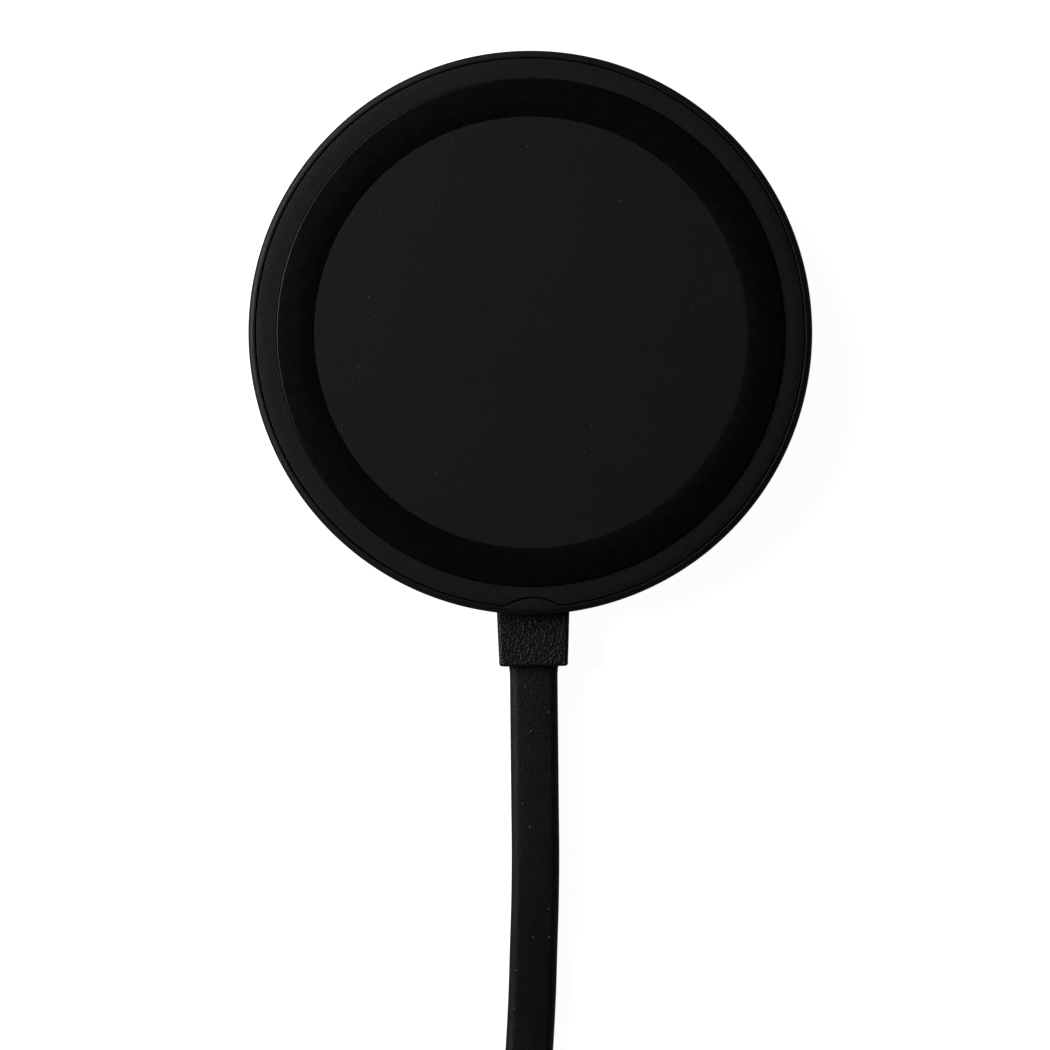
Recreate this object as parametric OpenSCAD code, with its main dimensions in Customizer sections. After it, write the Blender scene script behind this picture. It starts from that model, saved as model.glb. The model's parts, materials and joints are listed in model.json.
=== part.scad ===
// Round magnetic wireless charging pad with a fixed flat cable and a USB-C plug.
// Millimetres. The table is z = 0, the disc's axis is the Z axis, the charging face looks
// along +Z and the cable leaves along -Y.

/* [Disc] */
// Diameter of the disc
disc_d = 60; // [58:1:74]
// Height from the table to the charging face
disc_h = 6.5; // [6.4:0.1:9]
// Wall of the housing, below the panel's ledge
wall_t = 1.6; // [1.5:0.05:2]
// Floor of the housing
floor_t = 1; // [0.8:0.05:1.1]
// Radius of the rim's shoulder
rim_round = 0.6; // [0.2:0.05:0.7]
// Radius of the housing's lower edge
base_round = 1.2; // [0.5:0.05:1.5]

/* [Charging face] */
// Width of the rim that shows round the panel
rim_w = 0.73; // [0.6:0.01:1]
// Gap of the seam between panel and rim
seam_gap = 0.12; // [0.05:0.01:0.2]
// Thickness of the panel's outer band
panel_t = 1.1; // [1:0.05:1.4]
// Height of the middle of the face above the outer band
face_step = 0.2; // [0.1:0.05:0.3]
// Inside diameter of the gloss ring
ring_inner_d = 46; // [44:0.5:48]
// Outside diameter of the gloss ring
ring_outer_d = 54; // [52:0.5:54]
// Thickness of the gloss ring
ring_t = 0.4; // [0.3:0.05:0.5]
// Gap on each side of the gloss ring in its groove
ring_gap = 0.03; // [0.02:0.01:0.08]
// Depth of the arch in the seam, above the cable
arch_rise = 1; // [0.6:0.05:1.2]
// Radius of the arch's crown
arch_r = 5.2; // [4:0.1:6.5]
// Radius of the fillets where the arch meets the seam
arch_fillet = 1; // [0.5:0.1:1.5]

/* [Panel hooks] */
// Number of snap hooks under the panel
hook_count = 4; // [4:4:8]
// Angle that each hook spans
hook_span = 10; // [6:1:14]
// Length of a hook below the panel
hook_drop = 1.6; // [1.4:0.1:2]
// Thickness of a hook
hook_t = 0.7; // [0.5:0.05:0.7]
// Reach of a hook's barb
hook_barb = 0.35; // [0.2:0.05:0.4]
// Clearance round a hook
hook_gap = 0.1; // [0.05:0.01:0.15]

/* [Magnets] */
// Number of magnets in the alignment ring
magnet_count = 16; // [12:1:18]
// Thickness of a magnet
magnet_t = 1.8; // [1.4:0.05:2.2]
// Width of a magnet, across the ring
magnet_w = 3.8; // [3:0.1:3.9]
// Width of the rib between two magnets
magnet_rib = 0.5; // [0.3:0.05:1]
// Clearance round a magnet in its pocket
magnet_gap = 0.05; // [0.02:0.01:0.1]
// Wall of the holder, inside and outside the magnets
holder_wall = 0.3; // [0.2:0.05:0.35]
// Thickness of the steel ring under the magnets
yoke_t = 0.4; // [0.3:0.05:0.5]

/* [Charging coil] */
// Number of turns
coil_turns = 10; // [6:1:10]
// Radius of the innermost turn, at the wire's centre
coil_r = 9.6; // [8:0.1:10]
// Diameter of the litz wire
litz_d = 1; // [0.8:0.05:1.1]
// Gap between two turns
litz_gap = 0.08; // [0.03:0.01:0.1]
// Radius of the bend where the wire turns down to the board
litz_bend = 0.8; // [0.7:0.05:1]
// Length of wire under the board, in its solder
litz_tail = 0.3; // [0.2:0.05:0.5]
// Radius of the ferrite sheet and of the board
core_r = 22.2; // [21.9:0.05:22.5]
// Thickness of the ferrite sheet
ferrite_t = 0.8; // [0.5:0.05:1]
// Diameter of the hole in the middle of the ferrite
ferrite_hole_d = 5; // [4:0.5:8]
// Thickness of the insulating film
film_t = 0.1; // [0.05:0.05:0.2]
// Thickness of every double-sided tape
tape_t = 0.1; // [0.05:0.05:0.15]

/* [Board] */
// Thickness of the circuit board
board_t = 0.8; // [0.6:0.05:1]
// Height of the chips that touch the thermal pad
chip_h = 0.75; // [0.6:0.05:0.9]
// Side of the controller chip
controller_side = 5; // [4:0.5:6]
// Side of a bridge transistor package
transistor_side = 3.3; // [3:0.1:4]
// Length of a resonant capacitor, which is half as wide
capacitor_l = 3.2; // [2:0.1:3.4]
// Height of the tallest capacitors
capacitor_h = 0.8; // [0.5:0.05:0.9]
// Diameter of the posts that carry the board
post_d = 2.4; // [2:0.1:3]
// Diameter of the pins on the posts
pin_d = 1.2; // [1:0.1:1.5]
// Distance of the posts from the axis
post_r = 19.5; // [19:0.1:20]
// Clearance of pins and wires in the board's holes
hole_gap = 0.05; // [0.05:0.01:0.1]

/* [Thermistor] */
// Length of the sensor's bead
bead_l = 3; // [2:0.1:4]
// Thickness of the bead
bead_t = 0.8; // [0.5:0.05:1]
// Diameter of the sensor's leads
bead_lead_d = 0.4; // [0.3:0.05:0.6]

/* [Anti-slip base] */
// Diameter of the anti-slip pad
foot_d = 48; // [40:1:52]
// Thickness of the anti-slip pad
foot_t = 0.6; // [0.5:0.05:0.7]
// Height of the housing above the table
foot_proud = 0.3; // [0.2:0.05:0.4]

/* [Strain relief] */
// Width at the disc
relief_w = 7.7; // [7:0.1:9]
// Width at the free end
relief_end_w = 7.28; // [6.6:0.02:8.6]
// Height
relief_h = 3.8; // [3:0.1:4]
// Reach beyond the disc
relief_l = 5.55; // [4:0.05:8]
// Height of the cable's axis above the table, where it leaves
relief_z = 2.5; // [2.3:0.05:2.6]
// Radius of the block's corners
relief_round = 0.3; // [0.1:0.05:0.6]
// Material round the cable where it passes the housing's wall
relief_skin = 0.35; // [0.3:0.05:0.5]
// Width of the flange inside the wall
flange_w = 8.4; // [8:0.1:9]
// Thickness of the flange
flange_t = 0.7; // [0.5:0.05:0.8]
// Depth of the flat seat for the flange
flange_seat = 0.1; // [0.05:0.05:0.2]

/* [Cable] */
// Width of the flat cable
cable_w = 5.1; // [4:0.1:5.2]
// Thickness of the flat cable
cable_t = 2; // [1.6:0.1:2]
// Diameter of each of the four insulated wires inside
wire_d = 0.8; // [0.6:0.05:1]
// Distance between two wires
wire_pitch = 1.1; // [1.05:0.05:1.2]
// Stretch on which a wire comes down from the cable to the board's underside
wire_bend = 3.5; // [3:0.1:4]
// Length of wire under the board, up to its pad
wire_reach = 4; // [2:0.5:6]

/* [Wound cable] */
// Radius at the middle of the turns
wind_r = 29.5; // [26:0.5:34]
// Number of turns
wind_turns = 4.8; // [4:0.1:6]
// Distance between two turns
wind_pitch = 2.05; // [2.05:0.05:2.3]
// Radius of the bend by which the cable comes to the winding
join_r = 12; // [10:0.5:16]
// Angle of that bend
join_turn = 75; // [60:1:90]
// Straight stretch on which the cable joins the outer turn
wind_lead = 5; // [3:0.1:8]
// Radius of the bend that leaves the inner turn
tail_bend_r = 11; // [10:0.5:14]
// Part of that bend that belongs to the winding
tail_bend_start = 50; // [48:1:55]
// Width of a tie
tie_w = 6; // [4:0.5:10]
// Thickness of a tie
tie_t = 0.3; // [0.2:0.05:0.5]
// Clearance of a tie at the sides of the turns
tie_gap = 0.25; // [0.2:0.05:0.4]

/* [Plug] */
// Width of the plug's grip
grip_w = 11; // [10:0.5:12]
// Thickness of the plug's grip
grip_h = 6.2; // [5.6:0.1:7]
// Length of the plug's grip
grip_l = 14.5; // [13:0.5:15]
// Length of the neck behind the grip
neck_l = 4; // [3:0.5:4]
// Width of the neck
neck_w = 6.8; // [6.4:0.1:8]
// Thickness of the neck
neck_h = 3.6; // [3:0.1:4.5]
// Width of the metal shell
shell_w = 8.25; // [8.25:0.01:8.35]
// Thickness of the metal shell
shell_h = 2.4; // [2.4:0.01:2.46]
// Length of the shell in front of the grip
shell_l = 6.65; // [6.2:0.05:6.65]
// Length of the shell inside the grip
shell_embed = 4; // [3:0.5:5]
// Wall of the shell
shell_wall = 0.25; // [0.2:0.01:0.3]
// Width of the slot for the socket's tongue
tongue_w = 6.7; // [6.6:0.05:6.8]
// Height of that slot
tongue_h = 0.8; // [0.75:0.05:0.9]
// Depth of that slot
tongue_depth = 5.6; // [5:0.1:6]
// Contacts in each of the two rows
contact_count = 12; // [8:1:12]

/* [Hidden] */
$fn = 64;
disc_r = disc_d / 2;
wall_r = disc_r - wall_t;
panel_r = disc_r - rim_w - seam_gap;
ring_r1 = ring_inner_d / 2;
ring_r2 = ring_outer_d / 2;
// Radius of the gloss ring's outer edge, and how far a tape stays inside the piece it holds.
ring_edge = 0.15;
tape_inset = 0.1;

// Levels, from the charging face down. Each piece hangs from the one above it.
band_z = disc_h - face_step;
groove_z = disc_h - ring_t - tape_t;
panel_z = band_z - panel_t;
tape_z = panel_z - tape_t;
magnet_z = tape_z - magnet_t;
yoke_z = magnet_z - yoke_t;
coil_z = tape_z - litz_d;
ferrite_tape_z = coil_z - tape_t;
ferrite_z = ferrite_tape_z - ferrite_t;
film_z = ferrite_z - film_t;
board_z = film_z - board_t;
floor_z = foot_proud + floor_t;

magnet_r = (ring_r1 + ring_r2) / 2;
magnet_r1 = magnet_r - magnet_w / 2;
magnet_r2 = magnet_r + magnet_w / 2;
holder_r1 = magnet_r1 - magnet_gap - holder_wall;
holder_r2 = magnet_r2 + magnet_gap + holder_wall;
magnet_angle = 360 / magnet_count;
rib_angle = (magnet_rib + 2 * magnet_gap) / magnet_r * 180 / PI;
pocket_play = magnet_gap / magnet_r * 180 / PI;

coil_pitch = litz_d + litz_gap;
coil_end_r = coil_r + coil_turns * coil_pitch;
coil_axis_z = coil_z + litz_d / 2;
lead_holes = [[coil_r, -litz_bend], [coil_end_r, litz_bend]];

hook_r = wall_r - hook_gap;
// Heights of a hook's barb: its leading slope, and the step that latches above it.
barb_slope = 0.4;
barb_top = 0.6;
post_angles = [90, 210, 330];
bead_lead_gap = bead_l / 4;

flange_y = wall_r - flange_seat;
jacket_y = flange_y - flange_t;
flange_top = relief_z + cable_t / 2 + relief_skin;
exit_y = -(disc_r + relief_l);
relief_taper = (relief_w - relief_end_w) / 2 / relief_l;
relief_corner = relief_end_w / 2 + (relief_taper - 1) * relief_round;
wire_x = [for (i = [0:3]) (i - 1.5) * wire_pitch];
pad_y = -(core_r - wire_reach);
pad_z = board_z - wire_d / 2;

// Height of the parts under the board, and the hollow in the housing's floor that makes room
// for them and for the wires where the floor would be too near.
inductor_h = 0.9;
under_gap = 0.05;
under_h = max(inductor_h, capacitor_h, chip_h, wire_d);
well_z = min(floor_z, board_z - under_h - under_gap);
well_r = max(core_r, jacket_y - wire_bend + wire_d) + under_gap;
// Tops of the wires where they pass under the yoke's edge. If they come that high, the yoke is
// open there.
wire_top = relief_z - (relief_z - pad_z) * (jacket_y - magnet_r2) / wire_bend + wire_d / 2;
yoke_gap_w = 3 * wire_pitch + wire_d + 4 * under_gap;

// The cable's section: an oblong with its corners taken off.
corner = 0.6;
cable_section = let (a = cable_w / 2, b = cable_t / 2) [
    [a, b - corner], [a - corner, b], [corner - a, b], [-a, b - corner],
    [-a, corner - b], [corner - a, -b], [a - corner, -b], [a, corner - b]];
round_section = [for (i = [0:7]) [cos(45 * i + 22.5), sin(45 * i + 22.5)] / cos(22.5) / 2];

// The cable's way from the strain relief to the winding: x and y from the relief's end,
// height above the table, and the roll of its flat side, from lying to standing.
cable_route = [
    [0, -5, 2.5, 0], [0, -10, 2.5, 0], [0, -15, 2.45, 0], [0, -20, 2.35, 0],
    [-0.1, -25, 2.1, 0], [-0.3, -30, 1.75, 0], [-0.5, -35, 1.4, 0], [-0.8, -40, 1.15, 0],
    [-1.1, -44, 1.4, 10], [-1.4, -48, 1.95, 32], [-1.7, -52, 2.5, 60],
    [-1.9, -55, 2.75, 78], [-2.1, -58, 2.85, 90]];
// Heading of the cable at the end of that way, and where it meets the winding, both from -Y
// towards -X.
route_heading = 4;
wind_heading = route_heading - join_turn;
wind_z = tie_t;
wind_axis_z = wind_z + cable_w / 2;
wind_r1 = wind_r - wind_turns * wind_pitch / 2;
wind_r2 = wind_r + wind_turns * wind_pitch / 2;
wind_inside = wind_r1 - cable_t / 2;
wind_outside = wind_r2 + cable_t / 2;
function left_of(heading) = [cos(heading), -sin(heading)];
route_end = cable_route[len(cable_route) - 1];
join_centre = [route_end[0], exit_y + route_end[1]] + join_r * left_of(route_heading);
join_end = join_centre - join_r * left_of(wind_heading);
wind_tangent = join_end - wind_lead * [sin(wind_heading), cos(wind_heading)];
wind_centre = wind_tangent - wind_r2 * left_of(wind_heading);
// Angle at which the inner turn ends, from +X.
wind_end = -wind_heading - 360 * wind_turns;

// The cable's way from the winding to the plug, seen from the winding's axis with the end of
// the inner turn at the top: x, y, height above the table, roll.
tail_route = [
    [10.6, 16.4, 2.85, 75], [11, 13.6, 2.9, 55], [10.8, 11.4, 3, 35], [10.2, 9.2, 3.1, 15],
    [9.2, 6.4, 3.1, 0], [7.9, 3, 3.1, 0]];
// Heading of the plug in that view, from -Y towards -X.
plug_heading = 21;
plug_z = grip_h / 2;

function magnet_name(i) = str("magnet_", i < 10 ? "0" : "", i);

// ---- Shared shapes ----

// A flat ring, or a disc when r1 is 0.
module ring(r1, r2, z, h) {
    translate([0, 0, z])
        linear_extrude(h)
            difference() {
                circle(r2);
                if (r1 > 0) circle(r1);
            }
}

// A ring's sector from angle a1 to a2.
module sector(r1, r2, z, h, a1, a2) {
    rotate([0, 0, a1])
        rotate_extrude(angle = a2 - a1)
            translate([r1, z])
                square([r2 - r1, h]);
}

// What a fillet of radius r takes off a square corner, inside a quarter turned by a.
module corner_cut(x, y, r, a) {
    translate([x, y])
        rotate(a)
            difference() {
                square(r + 1);
                circle(r);
            }
}

module rounded_rect(w, h, r) {
    difference() {
        square([w, h], center = true);
        for (q = [0:3])
            rotate(q * 90)
                corner_cut(((q % 2 == 0) ? w : h) / 2 - r, ((q % 2 == 0) ? h : w) / 2 - r, r, 0);
    }
}

function unit(v) = v / norm(v);
function place(p) = [p[0], p[1], p[2]];

// One ring of a swept tube: the section across direction t, rolled about it.
function tube_ring(p, t, section) =
    let (s = unit(cross(t, [0, 0, 1])), u = cross(s, t), c = cos(p[3]), k = sin(p[3]))
    [for (q = section) place(p) + s * (q[0] * c - q[1] * k) + u * (q[0] * k + q[1] * c)];

// A tube through points [x, y, z, roll], square to the two directions at its ends.
module tube(path, section, first, last) {
    n = len(path);
    m = len(section);
    way = [for (i = [0:n - 1])
        i == 0 ? unit(first) : i == n - 1 ? unit(last) : unit(place(path[i + 1] - path[i - 1]))];
    polyhedron(
        points = [for (i = [0:n - 1]) each tube_ring(path[i], way[i], section)],
        faces = concat(
            [[for (j = [0:m - 1]) j]],
            [for (i = [0:n - 2], j = [0:m - 1]) [i * m + j, i * m + m + j, i * m + (j + 1) % m]],
            [for (i = [0:n - 2], j = [0:m - 1])
                [i * m + (j + 1) % m, i * m + m + j, i * m + m + (j + 1) % m]],
            [[for (j = [m - 1:-1:0]) (n - 1) * m + j]]));
}

// ---- Outline of the panel, with its arch above the cable ----

arch_y = panel_r - arch_rise + arch_r;
fillet_y = (arch_y * arch_y + pow(panel_r - arch_fillet, 2) - pow(arch_r + arch_fillet, 2))
    / (2 * arch_y);
fillet_x = sqrt(pow(panel_r - arch_fillet, 2) - fillet_y * fillet_y);
// Angles at which the fillet touches the seam and the arch.
seam_touch = atan2(fillet_x, fillet_y);
arch_touch = atan2(fillet_x, arch_y - fillet_y);

// Half of the notch's edge, on the +X side, from the seam to the crown, grown by gap.
function arch_edge(gap) = concat(
    [for (i = [0:6]) let (a = seam_touch - (seam_touch + arch_touch) * i / 6)
        [fillet_x, -fillet_y] + (arch_fillet + gap) * [sin(a), -cos(a)]],
    [for (i = [1:9]) let (a = arch_touch * (1 - i / 9))
        [0, -arch_y] + (arch_r - gap) * [sin(a), cos(a)]]);

module panel_outline(gap) {
    half = arch_edge(gap);
    n = len(half);
    outer = [sin(seam_touch), -cos(seam_touch)] * (panel_r + 2);
    difference() {
        circle(panel_r + gap);
        polygon(concat([outer], half, [for (i = [n - 2:-1:0]) [-half[i][0], half[i][1]]],
            [[-outer[0], outer[1]]]));
    }
}

// ---- Casing ----

module housing_outer() {
    rotate_extrude()
        difference() {
            translate([0, foot_proud])
                square([disc_r, band_z - foot_proud]);
            corner_cut(disc_r - rim_round, band_z - rim_round, rim_round, 0);
            corner_cut(disc_r - base_round, foot_proud + base_round, base_round, -90);
        }
}

module hooks(gap) {
    root_z = panel_z + panel_t / 4;
    z = panel_z - hook_drop - gap;
    play = gap / hook_r * 180 / PI;
    for (i = [0:hook_count - 1])
        rotate([0, 0, (i + 0.5) * 360 / hook_count - hook_span / 2 - play])
            rotate_extrude(angle = hook_span + 2 * play)
                polygon([
                    [hook_r - hook_t - gap, root_z], [hook_r - hook_t - gap, z],
                    [hook_r, z], [hook_r + hook_barb + gap, z + barb_slope],
                    [hook_r + hook_barb + gap, z + barb_top + 2 * gap],
                    [hook_r, z + barb_top + 2 * gap],
                    [hook_r, root_z]]);
}

// The way through the wall for the strain relief's neck.
module relief_neck(y1, y2) {
    translate([0, -y1, relief_z])
        rotate([90, 0, 0])
            linear_extrude(y2 - y1)
                square([cable_w + 2 * relief_skin, cable_t + 2 * relief_skin], center = true);
}

module housing() {
    color("#17181a") {
        difference() {
            housing_outer();
            translate([0, 0, floor_z])
                linear_extrude(disc_h)
                    intersection() {
                        circle(wall_r);
                        panel_outline(seam_gap);
                    }
            translate([0, 0, tape_z])
                linear_extrude(disc_h)
                    panel_outline(seam_gap);
            ring(0, foot_d / 2 + seam_gap, foot_proud - 1, 1 + foot_t + tape_t - foot_proud);
            if (well_z < floor_z)
                ring(0, well_r, well_z, disc_h);
            hooks(hook_gap);
            relief_neck(wall_r - 1, disc_r + 1);
            translate([-flange_w / 2 - hook_gap, -flange_y, floor_z])
                cube([flange_w + 2 * hook_gap, 1, flange_top + hook_gap - floor_z]);
        }
        for (a = post_angles)
            rotate([0, 0, a])
                translate([post_r, 0, well_z]) {
                    cylinder(d = post_d, h = board_z - well_z);
                    cylinder(d = pin_d, h = film_z - well_z);
                }
    }
}

module top_panel() {
    color("#1c1d1e") {
        difference() {
            translate([0, 0, panel_z])
                linear_extrude(panel_t)
                    panel_outline(0);
            ring(ring_r1 - ring_gap, ring_r2 + ring_gap, groove_z, disc_h);
        }
        ring(0, ring_r1 - ring_gap, groove_z, disc_h - groove_z);
        hooks(0);
    }
}

module gloss_ring() {
    color("#050506")
        rotate_extrude()
            difference() {
                translate([ring_r1, groove_z + tape_t])
                    square([ring_r2 - ring_r1, ring_t]);
                corner_cut(ring_r2 - ring_edge, disc_h - ring_edge, ring_edge, 0);
            }
}

module ring_tape() {
    color("#d8d4c4") ring(ring_r1 + tape_inset, ring_r2 - tape_inset, groove_z, tape_t);
}

module panel_tape() {
    color("#d8d4c4")
        translate([0, 0, tape_z])
            linear_extrude(tape_t)
                difference() {
                    panel_outline(0);
                    circle(wall_r);
                }
}

module base_pad() {
    color("#242527") ring(0, foot_d / 2, 0, foot_t);
}

module base_tape() {
    color("#d8d4c4") ring(0, foot_d / 2 - 2 * tape_inset, foot_t, tape_t);
}

// ---- Magnets ----

module magnet(i) {
    color("#c9ccd0")
        sector(magnet_r1, magnet_r2, magnet_z, magnet_t,
            (i - 1) * magnet_angle + rib_angle / 2, i * magnet_angle - rib_angle / 2);
}

module magnet_holder() {
    color("#e6e3da")
        difference() {
            ring(holder_r1, holder_r2, magnet_z, magnet_t);
            for (i = [1:magnet_count])
                sector(magnet_r1 - magnet_gap, magnet_r2 + magnet_gap, magnet_z - 1, magnet_t + 2,
                    (i - 1) * magnet_angle + rib_angle / 2 - pocket_play,
                    i * magnet_angle - rib_angle / 2 + pocket_play);
        }
}

module magnet_yoke() {
    color("#9a9da1")
        difference() {
            ring(magnet_r1, magnet_r2, yoke_z, yoke_t);
            if (wire_top + under_gap > yoke_z)
                translate([-yoke_gap_w / 2, -disc_r, yoke_z - 1])
                    cube([yoke_gap_w, disc_r, yoke_t + 2]);
        }
}

module magnet_tape() {
    color("#d8d4c4") ring(holder_r1, holder_r2, tape_z, tape_t);
}

// ---- Coil and ferrite ----

// The wire's bend from the level of the coil down to the board, from the end of the spiral.
module litz_lead(r) {
    translate([r, 0, coil_axis_z - litz_bend]) {
        rotate([0, -90, 0])
            rotate_extrude(angle = 90)
                translate([litz_bend, 0])
                    circle(d = litz_d);
        translate([0, litz_bend, board_z - litz_tail - coil_axis_z + litz_bend])
            cylinder(d = litz_d, h = coil_axis_z - litz_bend - board_z + litz_tail);
    }
}

module charging_coil() {
    color("#b5652f") {
        for (i = [0:coil_turns - 1]) {
            translate([0, 0, coil_axis_z])
                rotate_extrude(angle = 180)
                    translate([coil_r + i * coil_pitch, 0])
                        circle(d = litz_d);
            translate([coil_pitch / 2, 0, coil_axis_z])
                rotate([0, 0, 180])
                    rotate_extrude(angle = 180)
                        translate([coil_r + (i + 0.5) * coil_pitch, 0])
                            circle(d = litz_d);
        }
        mirror([0, 1, 0])
            litz_lead(coil_r);
        litz_lead(coil_end_r);
    }
}

// Openings for the two ends of the coil, through the sheets below it.
module lead_slots(z, h) {
    w = litz_d + 2 * hole_gap;
    l = litz_bend + litz_d / 2 + hole_gap;
    translate([coil_r - w / 2, -l, z])
        cube([w, l + litz_d / 2, h]);
    translate([coil_end_r - w / 2, -litz_d / 2, z])
        cube([core_r, l + litz_d / 2, h]);
}

module coil_tape() {
    color("#d8d4c4") ring(coil_r - litz_d / 2, coil_end_r, tape_z, tape_t);
}

module ferrite_tape() {
    color("#d8d4c4")
        difference() {
            ring(coil_r - litz_d / 2, coil_end_r, ferrite_tape_z, tape_t);
            lead_slots(ferrite_tape_z - 1, tape_t + 2);
        }
}

module ferrite_sheet() {
    color("#3c3d40")
        difference() {
            ring(ferrite_hole_d / 2, core_r, ferrite_z, ferrite_t);
            lead_slots(ferrite_z - 1, ferrite_t + 2);
        }
}

module insulating_film() {
    color("#c98a2b")
        difference() {
            ring(ferrite_hole_d / 2, core_r, film_z, film_t);
            lead_slots(film_z - 1, film_t + 2);
        }
}

// ---- Board ----

module circuit_board() {
    color("#1f5c3a")
        difference() {
            ring(0, core_r, board_z, board_t);
            for (a = post_angles)
                rotate([0, 0, a])
                    translate([post_r, 0, board_z - 1])
                        cylinder(d = pin_d + 2 * hole_gap, h = board_t + 2);
            for (p = lead_holes)
                translate([p[0], p[1], board_z - 1])
                    cylinder(d = litz_d + 2 * hole_gap, h = board_t + 2);
        }
}

// A part under the board, centred on x and y.
module under_board(x, y, w, l, h) {
    translate([x - w / 2, y - l / 2, board_z - h])
        cube([w, l, h]);
}

module controller_chip() {
    color("#26272a") under_board(-5, 3, controller_side, controller_side, chip_h);
}

module bridge_transistors() {
    color("#2b2c2f")
        for (x = [5, 10])
            under_board(x, 7, transistor_side, transistor_side, chip_h);
}

module resonant_capacitors() {
    color("#b79b6c")
        for (i = [0:3])
            under_board(-12.5, -5 + i * 2.4, capacitor_l, capacitor_l / 2, capacitor_h);
}

module filter_capacitors() {
    color("#a98d60")
        for (i = [0:4], y = [-13, 13])
            under_board(-7 + i * 2.4, y, 0.8, 1.6, capacitor_h);
}

module sense_resistors() {
    color("#1b1b1d")
        for (i = [0:5])
            under_board(15, -6 + i * 1.6, 1, 0.5, 0.35);
}

module power_inductor() {
    color("#55575a") under_board(-1.5, -7.5, 2.5, 2, inductor_h);
}

// Between the floor and the controller and bridge transistors.
module thermal_pad() {
    color("#9fb4c4")
        translate([-7.5, 0.5, well_z])
            cube([19.2, 8.2, board_z - chip_h - well_z]);
}

module thermistor() {
    color("#d9a441") {
        translate([-bead_l / 2, -bead_t, panel_z - bead_t])
            cube([bead_l, 2 * bead_t, bead_t]);
        for (x = [-1, 1])
            translate([x * bead_lead_gap, 0, film_z])
                cylinder(d = bead_lead_d, h = panel_z - bead_t - film_z);
    }
}

// ---- Wires and solder ----

// One of the four wires, from the cable's end to its pad under the board.
module wire(i) {
    tube([[wire_x[i], -jacket_y, relief_z, 0], [wire_x[i], wire_bend - jacket_y, pad_z, 0],
          [wire_x[i], pad_y, pad_z, 0]],
        wire_d * round_section, [0, 1, 0], [0, 1, 0]);
}

module wire_power() {
    color("#b3261e") wire(0);
}

module wire_data_minus() {
    color("#e8e8e8") wire(1);
}

module wire_data_plus() {
    color("#2e7d4f") wire(2);
}

module wire_ground() {
    color("#141414") wire(3);
}

// A fillet of solder in front of each wire's end, and a cone round each end of the coil.
module solder_joints() {
    color("#b9bcc1") {
        for (x = wire_x)
            translate([x - wire_d / 2, pad_y, board_z])
                rotate([90, 0, 90])
                    sector(0, wire_d, 0, wire_d, -90, 0);
        for (p = lead_holes)
            translate([p[0], p[1], board_z - 2 * litz_tail])
                difference() {
                    cylinder(r1 = litz_d / 2, r2 = litz_d, h = 2 * litz_tail);
                    translate([0, 0, litz_tail])
                        cylinder(d = litz_d, h = 1);
                }
    }
}

// ---- Strain relief and cable ----

module cable_through(y1, y2) {
    translate([0, -y1, relief_z])
        rotate([90, 0, 0])
            linear_extrude(y2 - y1)
                polygon(cable_section);
}

module strain_relief() {
    color("#1a1b1c")
        difference() {
            union() {
                difference() {
                    translate([0, 0, relief_z - relief_h / 2])
                        linear_extrude(relief_h)
                            difference() {
                                polygon([
                                    [-relief_w / 2, 1 - disc_r], [-relief_w / 2, -disc_r],
                                    [-relief_end_w / 2, exit_y], [relief_end_w / 2, exit_y],
                                    [relief_w / 2, -disc_r], [relief_w / 2, 1 - disc_r]]);
                                for (s = [0, 1])
                                    mirror([s, 0])
                                        corner_cut(relief_corner, exit_y + relief_round,
                                            relief_round, -90);
                            }
                    housing_outer();
                }
                relief_neck(flange_y, disc_r + 1);
                translate([-flange_w / 2, -flange_y, floor_z])
                    cube([flange_w, flange_t, flange_top - floor_z]);
            }
            cable_through(jacket_y - 1, disc_r + relief_l + 1);
        }
}

module cable_run() {
    color("#151617")
        tube(concat(
                [[0, -jacket_y, relief_z, 0], [0, exit_y, relief_z, 0]],
                [for (p = cable_route) [p[0], exit_y + p[1], p[2], p[3]]]),
            cable_section, [0, -1, 0], [-sin(route_heading), -cos(route_heading), 0]);
}

module in_winding() {
    translate([wind_centre[0], wind_centre[1], 0])
        rotate([0, 0, wind_end - 90])
            children();
}

// The cable's section on edge, for a revolve at radius r.
module standing_section(r) {
    translate([r, wind_axis_z])
        rotate(90)
            polygon(cable_section);
}

// The outer shape of all the turns, with the stretches on which the cable joins and leaves.
module cable_coil() {
    color("#1d1e20") {
        translate([wind_centre[0], wind_centre[1], 0])
            ring(wind_inside, wind_outside, wind_z, cable_w);
        translate([join_centre[0], join_centre[1], 0])
            rotate([0, 0, 180 - route_heading])
                rotate_extrude(angle = join_turn)
                    standing_section(join_r);
        translate([join_end[0], join_end[1], 0])
            rotate([90, 0, -wind_heading])
                linear_extrude(wind_lead)
                    standing_section(0);
        in_winding()
            translate([0, wind_r1 - tail_bend_r, 0])
                rotate([0, 0, 90 - tail_bend_start])
                    rotate_extrude(angle = tail_bend_start)
                        standing_section(tail_bend_r);
    }
}

module cable_tail() {
    start = [tail_bend_r * sin(tail_bend_start),
        wind_r1 - tail_bend_r + tail_bend_r * cos(tail_bend_start), wind_axis_z, 90];
    color("#151617")
        in_winding()
            tube(concat([start], tail_route), cable_section,
                [cos(tail_bend_start), -sin(tail_bend_start), 0],
                [-sin(plug_heading), -cos(plug_heading), 0]);
}

module cable_tie(a) {
    w = wind_outside - wind_inside + 2 * tie_gap;
    color("#2c2d30")
        translate([wind_centre[0], wind_centre[1], 0])
            rotate([0, 0, a])
                translate([wind_r, tie_w / 2, wind_axis_z])
                    rotate([90, 0, 0])
                        linear_extrude(tie_w)
                            difference() {
                                square([w + 2 * tie_t, cable_w + 2 * tie_t], center = true);
                                square([w, cable_w], center = true);
                            }
}

// ---- Plug ----

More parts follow.
